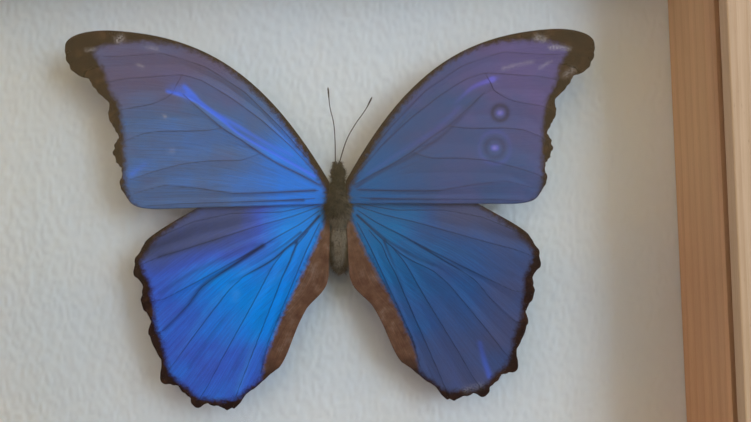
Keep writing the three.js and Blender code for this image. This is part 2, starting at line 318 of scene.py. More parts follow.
def pine(name, along, axis_at, light, dark, seed):
    """Planed pine. along: "X" or "Z", the way the grain runs. axis_at: the trunk's middle, mm."""
    wood = Finish(name)
    turn = (0, 0, 0) if along == "Z" else (0, math.pi / 2, 0)
    grain = wood.place(rotation=turn, location=axis_at)

    def drawn_out(share, shift=(0, 0, 0)):
        """Places squeezed along the grain, so that a pattern on them comes out long."""
        links = {"Vector": grain, "Location": shift, "Scale": (1, 1, share)}
        return wood.node("Mapping", links).outputs["Vector"]

    drift = wood.noise(drawn_out(0.06, (seed, seed * 2, 0)), 0.05, 2)
    sway = wood.math("MULTIPLY", wood.math("SUBTRACT", drift, 0.5), 9.0)
    parts = wood.node("SeparateXYZ", {"Vector": grain})
    across = wood.node("CombineXYZ", {"X": parts.outputs["X"], "Y": parts.outputs["Y"]}).outputs["Vector"]
    radius = wood.node("VectorMath", {0: across}, operation="LENGTH").outputs["Value"]
    radius = wood.math("ADD", radius, sway)
    ring = wood.math("FRACT", wood.math("MULTIPLY", radius, RINGS_PER_MM))
    late = wood.math("MULTIPLY", wood.span(ring, 0.45, 0.93), wood.span(ring, 1.0, 0.95))
    fibre = wood.noise(drawn_out(0.02), 3.2, 3, 0.65)
    broad = wood.noise(drawn_out(0.02), 0.35, 2)
    pores = wood.span(wood.noise(drawn_out(0.12), 2.4, 2), 0.70, 0.76)
    base = wood.mix(wood.math("MULTIPLY", late, 0.42), light, dark)
    base = wood.mix(wood.span(broad, 0.35, 0.7, 0.0, 0.5), base, [c * 0.84 for c in light])
    base = wood.mix(wood.span(fibre, 0.3, 0.75, 0.0, 0.22), base, [c * 0.72 for c in dark])
    base = wood.mix(wood.math("MULTIPLY", pores, 0.35), base, [c * 0.5 for c in dark])
    rough = wood.span(fibre, 0.3, 0.7, 0.46, 0.62)
    lift = wood.math("ADD", wood.math("MULTIPLY", fibre, 0.5), wood.math("MULTIPLY", late, 0.5))
    lift = wood.math("SUBTRACT", lift, wood.math("MULTIPLY", pores, 0.8))
    wood.set(Base_Color=base, Roughness=rough, Normal=wood.bump(lift, 0.12, 0.6))
    wood.shader.inputs["Specular IOR Level"].default_value = 0.35
    return wood.material


# The spacers and the moulding are one pine. The moulding's tones are set darker and greyer, as painted shade
# on its front faces, which stand in the open light.
MOULDING_LIGHT, MOULDING_DARK = shade(191, 167, 146), shade(168, 138, 110)
SPACER_LIGHT, SPACER_DARK = shade(218, 172, 126), shade(192, 142, 94)
# For each piece: the way its grain runs, where its trunk's middle lies (mm), and its seed.
GRAIN_AXES = {
    "rail_left": ("Z", (141, 22, 0), 3),
    "rail_right": ("Z", (-74, 27, 0), 11),
    "rail_bottom": ("X", (24, 31, 0), 19),
    "rail_top": ("X", (-205, 17, 0), 27),
    "spacer_left": ("Z", (120, 30, 0), 35),
    "spacer_right": ("Z", (-70, -45, 0), 43),
    "spacer_bottom": ("X", (20, 40, 0), 51),
    "spacer_top": ("X", (-190, 33, 0), 59),
}
for name, (along, axis_at, seed) in GRAIN_AXES.items():
    is_spacer = name.startswith("spacer")
    # The moulding takes the darker, greyer tones, as painted shade. The spacers take their own tones.
    light, dark = (SPACER_LIGHT, SPACER_DARK) if is_spacer else (MOULDING_LIGHT, MOULDING_DARK)
    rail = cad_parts[name]
    rail.data.materials.clear()
    rail.data.materials.append(pine("pine_" + name, along, axis_at, light, dark, seed))
print("eight pieces of pine, each with its own grain")

# %% [markdown]
# ## The pane
# Picture glass is 2 mm thick with its sharp edges taken off. It starts as a cube of the node's
# size, its edges are bevelled in edit mode, and its finish is plain clear glass.

# %% Glass
GLASS_BEVEL = 0.2  # mm


def node_block(name, node, bevel_mm):
    """A block of the size and place of a model node, with its edges rounded."""
    low, high = (Vector(c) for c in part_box(node))
    bpy.ops.object.select_all(action="DESELECT")
    bpy.ops.mesh.primitive_cube_add(size=1, location=(low + high) / 2)
    block = added(name)
    block.scale = high - low
    settle(block)
    bpy.ops.object.mode_set(mode="EDIT")
    bpy.ops.mesh.select_all(action="SELECT")
    bpy.ops.mesh.bevel(offset=bevel_mm * MM, segments=2, affect="EDGES")
    bpy.ops.object.mode_set(mode="OBJECT")
    bpy.ops.object.shade_smooth_by_angle(angle=math.radians(40))
    return block


clear = Finish("clear_glass")
clear.set(Base_Color=(0.985, 1.0, 0.995), Roughness=0.0)
clear.shader.inputs["Transmission Weight"].default_value = 1.0
clear.shader.inputs["IOR"].default_value = 1.5
pane = node_block("glass_pane", "glass", GLASS_BEVEL)
bpy.ops.object.shade_flat()
attach(pane, clear.material, "clear_glass", "glass")
pane.visible_shadow = False

# %% [markdown]
# ## Embossed lining paper
# The background is a thick white wallpaper, pressed into small upright pebbles about 1 mm wide. The
# light skims across it, so the pebbles are real relief: a fine grid whose points are moved forward
# by smooth random heights. The heights come from random numbers on a coarse net, blended smoothly
# between its knots. The net's cells are taller than they are wide, so the pebbles stand upright.

# %% Paper relief
rng = np.random.default_rng(7)


def smooth_random(x, z, cell_x, cell_z, seed):
    """Random heights 0..1 that change smoothly, one knot per cell of this size."""
    net = np.random.default_rng(seed).random((256, 256))
    px, pz = x / cell_x + 1000, z / cell_z + 1000
    ix, iz = np.floor(px).astype(int), np.floor(pz).astype(int)
    fx, fz = px - ix, pz - iz
    fx, fz = fx * fx * (3 - 2 * fx), fz * fz * (3 - 2 * fz)
    pick = lambda a, b: net[(ix + a) % 256, (iz + b) % 256]
    low = pick(0, 0) * (1 - fx) + pick(1, 0) * fx
    high = pick(0, 1) * (1 - fx) + pick(1, 1) * fx
    return low * (1 - fz) + high * fz


def step(value, low, high):
    t = np.clip((value - low) / (high - low), 0, 1)
    return t * t * (3 - 2 * t)


PEBBLE_WIDE, PEBBLE_TALL, PEBBLE_HIGH = 0.8, 1.15, 0.18  # mm
PAPER_THICK = 0.5  # mm
paper_low, paper_high = (Vector(c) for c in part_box("lining_paper"))
paper_size = paper_high - paper_low
bpy.ops.mesh.primitive_grid_add(
    x_subdivisions=430,
    y_subdivisions=224,
    size=1,
    location=(0, paper_low.y, MID_HEIGHT * MM),
    rotation=(math.pi / 2, 0, 0),
)
lining = added("lining_embossed")
lining.scale = (paper_size.x, paper_size.z, 1)
settle(lining)
spots = coordinates(lining.data)
x, z = spots[:, 0] / MM, spots[:, 2] / MM
wander = 0.9 * smooth_random(x, z, 4, 3, 1)
pebble = step(smooth_random(x + wander, z, PEBBLE_WIDE, PEBBLE_TALL, 3), 0.2, 0.8)
pebble = pebble * (0.6 + 0.4 * smooth_random(x, z, 2.2, 3.3, 4))
inside = step(x - paper_low.x / MM, 0.5, 2.0) * step(paper_high.x / MM - x, 0.5, 2.0)
spots[:, 1] -= PEBBLE_HIGH * MM * pebble * inside
lay(lining.data, spots)
select_only(lining)
bpy.ops.object.mode_set(mode="EDIT")
bpy.ops.mesh.select_mode(type="EDGE")
bpy.ops.mesh.select_all(action="DESELECT")
bpy.ops.mesh.select_non_manifold()
bpy.ops.mesh.extrude_edges_move(TRANSFORM_OT_translate={"value": (0, PAPER_THICK * MM, 0)})
bpy.ops.mesh.edge_face_add()
bpy.ops.mesh.select_all(action="SELECT")
bpy.ops.mesh.normals_make_consistent(inside=False)
bpy.ops.object.mode_set(mode="OBJECT")
bpy.ops.object.shade_smooth()

paper = Finish("embossed_paper")
spot = paper.place()
stain = paper.noise(spot, 0.03, 3)
tooth = paper.noise(spot, 5.5, 3, 0.6)
tone = paper.mix(paper.span(stain, 0.35, 0.65), shade(221, 227, 228), shade(225, 228, 225))
tone = paper.mix(paper.span(tooth, 0.35, 0.7, 0, 0.25), tone, shade(205, 210, 209))
paper.set(Base_Color=tone, Roughness=0.88, Normal=paper.bump(tooth, 0.08, 0.5))
paper.shader.inputs["Specular IOR Level"].default_value = 0.25
attach(lining, paper.material, "embossed_paper", "lining_paper")
print("paper relief:", round(float(np.ptp(spots[:, 1])) / MM, 2), "mm")

# %% [markdown]
# ## The back: foam, hardboard, tabs, hanger and nails
# Behind the paper lie a white foam board, which the pin is pushed into, and a brown hardboard.
# Steel tabs bent over the board hold it, and a sawtooth hanger is nailed to the top rail. Their
# shapes come from the solid model, so they need finishes: pressed fibres for the board, rolled
# steel with fine scratches, and slightly tarnished brass for the nails.

# %% Back finishes
foam = Finish("foam_core")
cells = foam.node("TexVoronoi", {"Vector": foam.place(), "Scale": 2.2}).outputs["Distance"]
foam.set(
    Base_Color=foam.mix(foam.span(cells, 0.2, 0.8), (0.80, 0.80, 0.77), (0.70, 0.70, 0.66)),
    Roughness=0.85,
    Normal=foam.bump(cells, 0.1, 0.4),
)

board = Finish("hardboard")
mat = board.noise(board.place(), 1.4, 4, 0.7)
blotch = board.noise(board.place(), 0.05, 3)
fleck = board.span(board.noise(board.place(scale=(1, 1, 0.3)), 2.6, 2), 0.66, 0.74)
brown = board.mix(board.span(mat, 0.3, 0.7), shade(134, 98, 66), shade(100, 70, 44))
brown = board.mix(board.span(blotch, 0.35, 0.7, 0, 0.5), brown, shade(120, 92, 68))
brown = board.mix(board.math("MULTIPLY", fleck, 0.6), brown, shade(66, 44, 28))
board.set(
    Base_Color=brown,
    Roughness=board.span(mat, 0.3, 0.7, 0.55, 0.8),
    Normal=board.bump(mat, 0.15, 0.6),
)


def metal(name, light, dark, roughness):
    finish = Finish(name)
    rub = finish.noise(finish.place(scale=(0.15, 1, 2.5)), 3.0, 3, 0.7)
    cloud = finish.noise(finish.place(), 0.5, 3)
    colour = finish.mix(finish.span(cloud, 0.35, 0.7), light, dark)
    finish.set(
        Base_Color=colour,
        Roughness=finish.span(rub, 0.3, 0.7, roughness, roughness + 0.16),
        Metallic=1.0,
        Normal=finish.bump(rub, 0.02, 0.5),
    )
    return finish.material


steel = metal("tab_steel", (0.56, 0.57, 0.58), (0.42, 0.43, 0.44), 0.28)
brass = metal("nail_brass", (0.70, 0.49, 0.20), (0.52, 0.35, 0.14), 0.30)
back_finishes = {
    "foam_board": foam.material,
    "backing_board": board.material,
    "hanger": steel,
    "mounting_pin": steel,
}
back_finishes.update({f"back_tab_{i}": steel for i in range(1, 7)})
back_finishes.update({"hanger_nail_" + side: brass for side in ("left", "right")})
for name, finish in back_finishes.items():
    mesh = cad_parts[name].data
    mesh.materials.clear()
    mesh.materials.append(finish)
print(len(back_finishes), "pieces of the back are finished")

# %% [markdown]
# ## Wings: the outline and the sheet
# A wing is a membrane a tenth of a millimetre thick, folded like a fan between its veins. Its edge
# runs in small lobes, one lobe at the end of each vein. The outline is drawn with curves, as on a
# drawing board, and cut into four sides. A grid is then laid between the four sides, so that its
# lines spread from the root to the outer edge just as the rows of scales do. That makes the grid's
# own UV map the natural one for the fine streaks.

# %% Drawing an outline
SPECIMEN_TURN = math.radians(1.6)
SPECIMEN_HEIGHT = MID_HEIGHT + 6  # mm, the middle of the thorax above the frame's underside


def to_frame(x, y, z):
    """Specimen millimetres (x to the right, z to the head) as places in the frame, in metres."""
    c, s = math.cos(SPECIMEN_TURN), math.sin(SPECIMEN_TURN)
    x, y, z = (np.asarray(a, dtype=float) for a in (x, y, z))
    return np.stack([x * c + z * s, y + 0 * x, SPECIMEN_HEIGHT + z * c - x * s], axis=-1) * MM


def to_specimen(places):
    """Frame places in metres back to specimen mm."""
    c, s = math.cos(SPECIMEN_TURN), math.sin(SPECIMEN_TURN)
    x, y, z = (np.asarray(places) / MM).T
    z = z - SPECIMEN_HEIGHT
    return np.stack([x * c - z * s, y, x * s + z * c], axis=-1)


def curve(start, steer_a, steer_b, end, count=24):
    t = np.linspace(0, 1, count + 1)[1:, None]
    a, b, c, d = (np.array(p, dtype=float) for p in (start, steer_a, steer_b, end))
    return list(a * (1 - t) ** 3 + 3 * b * t * (1 - t) ** 2 + 3 * c * t**2 * (1 - t) + d * t**3)


def lobe(start, crest, notch):
    """One rounded lobe of a wing's edge, over its crest to the next notch."""
    a, b, c = (np.array(p, dtype=float) for p in (start, crest, notch))
    way = (c - a) / np.linalg.norm(c - a)
    rise, fall = 0.45 * np.linalg.norm(b - a), 0.45 * np.linalg.norm(c - b)
    upward = curve(a, a + 0.3 * (b - a), b - rise * way, b, 12)
    return upward + curve(b, b + fall * way, c + 0.3 * (b - c), c, 12)


def draw(start, *strokes):
    """A closed outline. A stroke is an end point, a (crest, notch) lobe or a three-point curve."""
    line = [np.array(start, dtype=float)]
    for stroke in strokes:
        if len(stroke) == 1:
            line += list(np.linspace(line[-1], stroke[0], 9)[1:])
        elif len(stroke) == 2:
            line += lobe(line[-1], *stroke)
        else:
            line += curve(line[-1], *stroke)
    return np.array(line)


FOREWING = draw(
    (2.2, 4.0),
    ((18.0, 31.2), (33.0, 42.2), (58.5, 43.6)),
    ((65.5, 43.8), (71.0, 42.0), (69.9, 38.6)),
    ((69.6, 34.4), (68.2, 31.8), (64.0, 31.2)),
    ((61.9, 27.8), (58.7, 24.8)),
    ((58.8, 20.8), (56.7, 16.6)),
    ((57.9, 11.4), (55.9, 8.1)),
    ((56.3, 3.6), (54.6, 0.4)),
    ((53.6, -1.9), (51.5, -2.4), (47.0, -2.6)),
    ((2.4, -1.8),),
    ((2.2, 4.0),),
)
HINDWING = draw(
    (2.6, -0.6),
    ((14.0, 3.0), (28.0, 2.0), (37.5, -2.6)),
    ((42.0, -5.2), (48.2, -8.4), (50.6, -10.9)),
    ((53.7, -17.6), (51.4, -22.7)),
    ((51.7, -27.0), (49.5, -31.0)),
    ((49.9, -35.6), (46.9, -41.6)),
    ((46.7, -43.5), (47.0, -45.0), (47.1, -46.6)),
    ((46.4, -48.8), (43.6, -47.6), (42.0, -49.6)),
    ((39.9, -51.6),),
    ((38.3, -54.2), (34.9, -53.4)),
    ((28.9, -55.0), (25.0, -51.6)),
    ((22.0, -49.6), (18.5, -46.0), (16.2, -44.7)),
    ((13.2, -41.0), (12.6, -35.6), (8.6, -29.2)),
    ((6.4, -26.4), (3.0, -25.0), (2.7, -20.5)),
    ((2.2, -9.0),),
    ((2.6, -0.6),),
)
# The four corners of each sheet: front root, front tip, rear tip, rear root.
FOREWING_CORNERS = ((2.2, 4.0), (69.9, 38.6), (54.6, 0.4), (2.4, -1.8))
HINDWING_CORNERS = ((2.6, -0.6), (50.6, -10.9), (16.2, -44.7), (2.2, -9.0))
print("forewing outline:", len(FOREWING), "points; hindwing outline:", len(HINDWING), "points")


# %% Laying a grid between four sides
RAGGED = 0.012  # how much the scales at the outer edge stick out, as a share of the wing's reach


def four_sides(outline, corners):
    ring = outline[:-1]
    marks = [int(np.argmin(np.linalg.norm(ring - np.array(c), axis=1))) for c in corners]
    sides = []
    for a, b in zip(marks, marks[1:] + marks[:1]):
        picks = np.arange(a, b + 1 if b > a else b + len(ring) + 1) % len(ring)
        sides.append(ring[picks])
    return sides


def walk(line, share):
    """The points at these shares (0..1) of a line's length."""
    steps = np.linalg.norm(np.diff(line, axis=0), axis=1)
    reach = np.concatenate([[0], np.cumsum(steps)]) / steps.sum()
    return np.stack([np.interp(share, reach, side) for side in line.T], axis=-1)


def span_sides(outline, corners, u, v):
    """The spot at u (root to outer edge) and v (rear to front), blended from the four sides."""
    front, outer, rear, root = four_sides(outline, corners)
    rear, outer = rear[::-1], outer[::-1]
    a, b = walk(front, u), walk(rear, u)
    c, d = walk(root, v), walk(outer, v)
    wobble = smooth_random(v * 80, 0 * v, 1, 1, 12) - 0.5
    d = d * (1 + RAGGED * wobble * step(v, 0, 0.05) * step(-v, -1, -0.95))[:, None]
    u, v = u[:, None], v[:, None]
    flat = (1 - u) * (1 - v) * rear[0] + u * (1 - v) * rear[-1] + (1 - u) * v * front[0] + u * v * front[-1]
    return v * a + (1 - v) * b + (1 - u) * c + u * d - flat


# %% [markdown]
# ## Wings: veins, folds and relief
# The veins are the fan's ribs. The membrane sinks to a fold midway between two ribs. From the
# distances to the nearest rib and to the nearest fold comes a height, highest on the ribs, which
# moves the sheet forward. A little slow waviness is added, as a dried wing is never quite flat.

# %% Veins and folds
FORE_VEINS = [
    [(4.0, 5.6), (14, 17.5), (24, 27.5), (34, 34), (45, 37.5), (50, 37.2), (57, 36.8), (62, 37), (68, 36.5)],
    [
        (4.5, 5.0), (12, 13.2), (20, 20.4), (28, 26.3), (35, 30.5),
        (40, 32), (48, 31.5), (55, 31), (60, 30), (61.9, 28.2),
    ],
    [(4.5, 3.0), (10, 6), (15, 8.5), (20, 11.5), (25, 15), (30, 18.2), (35, 22.5), (40, 27)],
    [(40, 32), (41.5, 29.5), (43, 27), (48, 24.5), (56, 23), (58.6, 21)],
    [(30, 18.2), (34, 17.6), (38, 17.5), (45, 17.5), (50, 17), (55, 15), (57.6, 11.8)],
    [(20, 11.5), (25, 9.8), (33, 9.7), (40, 9), (48, 7), (54, 5), (56, 3.8)],
    [(5, 1.7), (15, 1.4), (27, 1.2), (36, 2.6), (45, 3.5), (53, 1.5)],
    [(6, -0.4), (15, -0.8), (25, -1), (40, -1.2), (50, -1.8)],
]
FORE_FOLDS = [
    [(8, 9), (20, 22.5), (30, 30), (40, 34.8), (50, 34.6), (58, 34.3), (64.5, 33)],
    [(7, 6), (15, 10.5), (25, 16), (32, 22), (38, 26), (44, 27.9), (50, 28), (56, 27), (58.5, 25)],
    [(36, 21), (46, 21), (52, 20), (56.5, 16.8)],
    [(22, 12.6), (28, 13.6), (38, 13.4), (48, 12.2), (55.7, 8.3)],
    [(10, 4), (20, 6), (34, 5.9), (46, 5.2), (54.4, 0.8)],
    [(6, 0.6), (20, 0.2), (36, 0.3), (50, -0.2)],
]
HIND_VEINS = [
    [(5, -1.8), (15, -3.8), (28, -4.0), (38, -6), (50, -11)],
    [(5, -2.5), (12, -5), (20, -7), (30, -10), (40, -13), (47, -15), (53.4, -17.6)],
    [(5, -3.6), (10, -7), (16, -10.2), (22, -13.5), (30, -17.8), (38, -22), (46, -26), (51.4, -27)],
    [(20, -12.6), (27, -17), (31, -19.5), (36, -23), (40, -28), (46, -34), (49.6, -35.6)],
    [
        (5, -5), (10, -10), (14, -13.5), (17, -16), (20, -17.8),
        (25, -20.4), (29, -24), (37, -34), (43, -42), (46.8, -46.4),
    ],
    [(14, -13.5), (17.5, -18), (23, -28), (30, -40), (35, -49), (38, -53.6)],
    [(8, -9), (11.4, -13), (13, -17), (15, -21), (17, -26), (22, -38), (26.5, -49), (28.6, -54.4)],
    [(5, -7), (8.5, -14), (12, -22), (15.5, -30), (19, -38), (21, -46)],
]
HIND_FOLDS = [
    [(8, -3.4), (20, -5.6), (38, -9.6), (52, -14)],
    [(12, -6.6), (22, -10), (32, -14), (40, -17.4), (51.2, -22.4)],
    [(18, -11.8), (28, -18), (38, -23), (49.3, -30.8)],
    [(17, -14.6), (27, -20), (34, -27), (41, -35), (46.8, -41.4)],
    [(19, -19), (28, -30), (36, -41), (41.8, -49.2)],
    [(15, -18), (20, -27), (27, -41), (34.7, -53)],
    [(10, -14.5), (14, -23), (19, -36), (24.8, -51)],
]


def nearest_on(line, spots):
    """How far each spot is from a line, and how far along the line (0..1) its nearest point is."""
    line = np.array(line, dtype=float)
    steps = np.linalg.norm(np.diff(line, axis=0), axis=1)
    starts = np.concatenate([[0], np.cumsum(steps)[:-1]])
    gap, along = np.full(len(spots), 1e9), np.zeros(len(spots))
    for a, b, start, length in zip(line[:-1], line[1:], starts, steps):
        t = np.clip((spots - a) @ (b - a) / length**2, 0, 1)
        far = np.linalg.norm(spots - a - t[:, None] * (b - a), axis=1)
        closer = far < gap
        gap[closer], along[closer] = far[closer], (start + t * length)[closer] / steps.sum()
    return gap, along


def gap_to(lines, spots):
    return np.min([nearest_on(line, spots)[0] for line in lines], axis=0)


# How deep the folds are, in mm, for the left wings (1) and the flatter right ones (2).
PLEAT_DEPTH = {("fore", 1): 0.38, ("fore", 2): 0.30, ("hind", 1): 0.55, ("hind", 2): 0.22}


def ribs_and_ridges(kind, spots):
    """How far each spot is from the nearest rib, in mm, and its place from fold (0) to rib (1)."""
    veins, folds = (FORE_VEINS, FORE_FOLDS) if kind == "fore" else (HIND_VEINS, HIND_FOLDS)
    rib, fold = gap_to(veins, spots), gap_to(folds, spots)
    return rib, fold / (rib + fold + 0.15)


def relief(kind, spots, seed):
    """How far forward of its flat level, in mm, each spot of a wing stands."""
    depth = PLEAT_DEPTH[kind, seed]
    _, ridge = ribs_and_ridges(kind, spots)
    away = step(np.hypot(spots[:, 0] - 2, spots[:, 1]), 3, 20)
    if kind == "hind":
        away = away * step(-spots[:, 1], 2, 9)
    wave = smooth_random(spots[:, 0], spots[:, 1], 11, 9, 40 + seed) - 0.5
    return away * (depth * (ridge - 0.5) + 0.35 * wave)


print(len(FORE_VEINS), "forewing veins and", len(HIND_VEINS), "hindwing veins")

# %% [markdown]
# ## Wings: where the colours lie
# The blue is not a pigment: ribs on the scales reflect it, and it is deepest where the scales are
# fresh and well lit. A dark brown margin runs round the outer edge, and the hind wings have a brown
# strip where they fold beside the body. These places are drawn as outlines and brush strokes in
# wing millimetres, and kept on the mesh as numbers: how far inside the blue a point is, how azure
# it is, how much painted highlight or painted shade it carries, and so on. The finish turns those
# numbers into colour.

# %% Brushes
def within(outline, spots):
    """True for spots inside a closed outline."""
    hit = np.zeros(len(spots), dtype=bool)
    x, z = spots.T
    for (ax, az), (bx, bz) in zip(outline, np.roll(outline, -1, axis=0)):
        if az != bz:
            hit ^= ((az > z) != (bz > z)) & (x < (bx - ax) * (z - az) / (bz - az) + ax)
    return hit


def rounded(points, closed=False, count=5):
    """A smooth line through a few points."""
    p = np.array(points, dtype=float)
    p = np.vstack([p[-1:], p, p[:2]]) if closed else np.vstack([2 * p[0] - p[1], p, 2 * p[-1] - p[-2]])
    line = []
    for a, b, c, d in zip(p[:-3], p[1:-2], p[2:-1], p[3:]):
        square, cube = 2 * a - 5 * b + 4 * c - d, 3 * b - a - 3 * c + d
        for t in np.linspace(0, 1, count, endpoint=False):
            line.append(0.5 * (2 * b + (c - a) * t + square * t**2 + cube * t**3))
    return np.array(line if closed else line + [p[-2]])


def inside_by(points, spots):
    """Millimetres inside a rounded closed outline, negative outside."""
    outline = rounded(points, closed=True)
    gap, _ = nearest_on(np.vstack([outline, outline[:1]]), spots)
    return np.where(within(outline, spots), gap, -gap)


def brushed(strokes, spots):
    """Adds up soft strokes: (points, half width in mm, strength at the start, strength at the end)."""
    total = np.zeros(len(spots))
    for points, width, start, end in strokes:
        line = rounded(points) if len(points) > 2 else points
        gap, along = nearest_on(line, spots)
        total += np.exp(-((gap / width) ** 2)) * (start + (end - start) * along)
    return total


def dabs(marks, spots):
    """Adds up soft round dabs: (x, z, radius in mm, strength)."""
    far = lambda x, z: np.hypot(spots[:, 0] - x, spots[:, 1] - z)
    return sum(k * np.exp(-((far(x, z) / r) ** 2)) for x, z, r, k in marks)


def rings(marks, spots):
    """Adds up soft rings: (x, z, radius, half width, strength)."""
    far = lambda x, z: np.hypot(spots[:, 0] - x, spots[:, 1] - z)
    return sum(k * np.exp(-(((far(x, z) - r) / w) ** 2)) for x, z, r, w, k in marks)


FORE_BLUE = [
    (3.9, 2.4), (9.8, 12.6), (16.0, 21.4), (22.0, 27.8), (28.4, 33.2), (35, 37.1), (42, 39.5),
    (48, 40.4), (54, 40.3), (59, 39.7), (62.4, 38.2), (61.2, 35.4), (60, 33), (58.5, 28),
    (56.5, 24.5), (55.7, 20), (55.2, 15), (55, 10), (55, 5), (54.4, 1.6), (52.6, -1.4),
    (47, -3.2), (25, -3.2), (4, -2.8),
]
HIND_BLUE = [
    (3, 0), (14, 3), (28, 3), (38, -3.6), (44, -7.8), (48.2, -11.2), (50.8, -14.6),
    (51.4, -17.2), (49.5, -22), (48.6, -27), (48, -33), (46.5, -37), (45.4, -42), (43.8, -46),
    (40, -49.3), (36.8, -51.8), (30.4, -52.6), (27, -51.8), (24, -49.4), (21.3, -47.4),
    (20, -42), (18, -37), (16, -32), (13, -26), (10, -20), (7, -14), (4.5, -8), (3, -4),
]
print("the blue fields are drawn with", len(FORE_BLUE), "and", len(HIND_BLUE), "points")

# %% [markdown]
# ## Wings: the marks of each one
# The left pair is painted brighter and more azure, as lit from the right, and the right pair darker,
# as painted shade. Two faint eyespots show through the right forewing. Rubbed places on the tips
# show pale membrane. Long bright streaks along the folds are painted highlights, and dark strokes
# beside the ribs are painted shade.

# %% Marks
# Strokes of painted light: plus is a painted highlight, minus is painted shade. The first two strokes of the
# right forewing are its eyespot pupils.
PAINTED_LIGHT_AND_PUPILS = {
    "forewing_left": [
        ([(6, 5.4), (15, 10.6), (25, 16.2), (32, 22), (38, 26), (44, 27.8)], 0.5, 0.9, 0.7),
        ([(12, 11), (20, 15), (28, 20), (34, 23.5), (39.5, 29)], 0.7, 0.5, 0.7),
        ([(38, 26), (42, 28.4), (46, 28.2)], 1.3, 0.8, 0.0),
        (
            [(5, 3.2), (10, 6), (15, 8.5), (20, 11.5), (25, 15), (30, 18.2), (35, 22.5), (40, 27)],
            0.6, -0.6, -0.35,
        ),
        ([(9, -0.8), (25, -1)], 0.5, -0.7, -0.3),
        ([(6, 1.7), (15, 1.4), (27, 1.2)], 0.5, -0.7, -0.3),
        ([(53.5, 6.5), (50, 9)], 0.9, 0.45, 0.3),
        ([(24, 22), (34, 28), (44, 33)], 3.5, 0.12, 0.1),
        ([(30, 12), (42, 14), (52, 12)], 2.0, 0.12, 0.1),
    ],
    "forewing_right": [
        ([(43.6, 21.5), (44.4, 21.5)], 0.9, 0.9, 0.9),
        ([(42.0, 12.3), (42.8, 12.3)], 0.9, 0.9, 0.9),
        ([(30, 22.4), (35, 27), (37.5, 28.7), (42, 30.3)], 0.7, 0.0, 0.95),
        ([(42, 30.3), (45, 31.2)], 0.8, 0.6, 0.0),
        ([(5, 2.5), (10, 5.5), (20, 10.5), (28, 15.5), (35, 22), (38, 25)], 0.6, -0.6, -0.4),
        ([(8, 5.6), (16, 10.8), (26, 16.8), (33, 23)], 0.9, 0.25, 0.3),
        ([(9, -0.8), (25, -1)], 0.5, -0.6, -0.3),
        ([(6, 1.7), (15, 1.4), (27, 1.2)], 0.5, -0.5, -0.3),
        ([(30, 8), (42, 6), (52, 3)], 2.0, 0.1, 0.1),
    ],
    "hindwing_left": [
        ([(20, -12.5), (27, -17), (31, -19.5), (36, -23), (40, -28), (46, -34)], 0.8, -0.8, -0.5),
        (
            [(5, -5), (10, -10.5), (14, -13.5), (17, -16), (20, -17.8), (25, -20.4), (29, -22)],
            0.45, -0.9, -0.5,
        ),
        ([(10, -9.2), (14, -12.2), (18, -14.6), (22, -17)], 0.4, -0.7, -0.2),
        ([(11, -12), (12.5, -16), (15, -21), (17, -26)], 0.4, -0.7, -0.3),
        ([(22, -12), (27, -14), (40, -20), (47, -24.5)], 0.7, -0.4, -0.4),
        ([(30, -10), (40, -13), (47, -15)], 0.7, -0.3, -0.4),
        ([(22, -34), (24.5, -43), (27, -50)], 1.2, 0.25, 0.35),
        ([(27, -25), (29.5, -33)], 1.4, 0.4, 0.1),
        ([(16, -20), (22, -27), (32, -41)], 1.6, 0.3, 0.1),
        ([(24, -18), (34, -28), (42, -40)], 1.4, 0.3, 0.15),
        ([(20, -10), (34, -15), (46, -21)], 1.1, 0.25, 0.1),
        ([(20, -30), (28, -45)], 0.7, -0.2, -0.3),
        ([(28, -28), (40, -44)], 0.7, -0.3, -0.3),
        ([(24, -5), (38, -8), (50, -13.5)], 2.6, -0.3, -0.55),
    ],
    "hindwing_right": [
        ([(5, -5), (10, -9.5), (13, -12), (20, -16.5), (25, -19)], 0.45, -0.8, -0.4),
        ([(12, -12), (13.5, -16), (17, -25)], 0.4, -0.7, -0.3),
        ([(37, -40), (38, -44), (39.5, -49)], 0.9, 0.5, 0.8),
        ([(22, -11), (34, -16), (46, -22)], 1.0, -0.25, -0.25),
        ([(28, -20), (38, -30), (46, -38)], 1.2, 0.15, 0.1),
        ([(20, -26), (28, -42), (31, -51)], 1.2, 0.15, 0.15),
        ([(38, -7), (50, -13)], 1.6, -0.2, -0.4),
    ],
}
PALE_STROKES = {
    "forewing_left": [
        ([(55.6, 41.6), (56.6, 41.0)], 0.8, 0.9, 0.9),
        ([(62.6, 38.7), (64.6, 38.4)], 0.4, 0.9, 0.7),
        ([(46.6, 38.8), (49, 39.1)], 0.5, 0.6, 0.4),
        ([(50.4, 34.3), (51.6, 34.8)], 0.45, 0.5, 0.4),
    ],
    "forewing_right": [
        ([(54.2, 41.4), (56.2, 40.8)], 0.8, 0.9, 0.7),
        ([(58, 38.8), (60.5, 38.6), (63, 38.3)], 0.55, 0.9, 0.7),
        ([(45, 33.2), (49, 34.2), (53, 35)], 0.5, 0.45, 0.4),
        ([(55, 33.4), (58, 35)], 0.45, 0.5, 0.4),
        ([(62, 31.4), (64, 32.8)], 0.8, 0.5, 0.5),
    ],
    "hindwing_left": [([(3.2, -1.8), (4.5, -2.6)], 0.5, 0.6, 0.3)],
    "hindwing_right": [([(33, -52.6), (37, -51.4)], 0.9, 0.35, 0.35)],
}
PALE_DABS = {
    "forewing_left": [(44.8, 21.4, 0.6, 0.6), (43, 12.5, 0.8, 0.3)],
    "forewing_right": [(44, 21.5, 0.5, 0.5), (42.4, 12.3, 0.5, 0.5)],
}
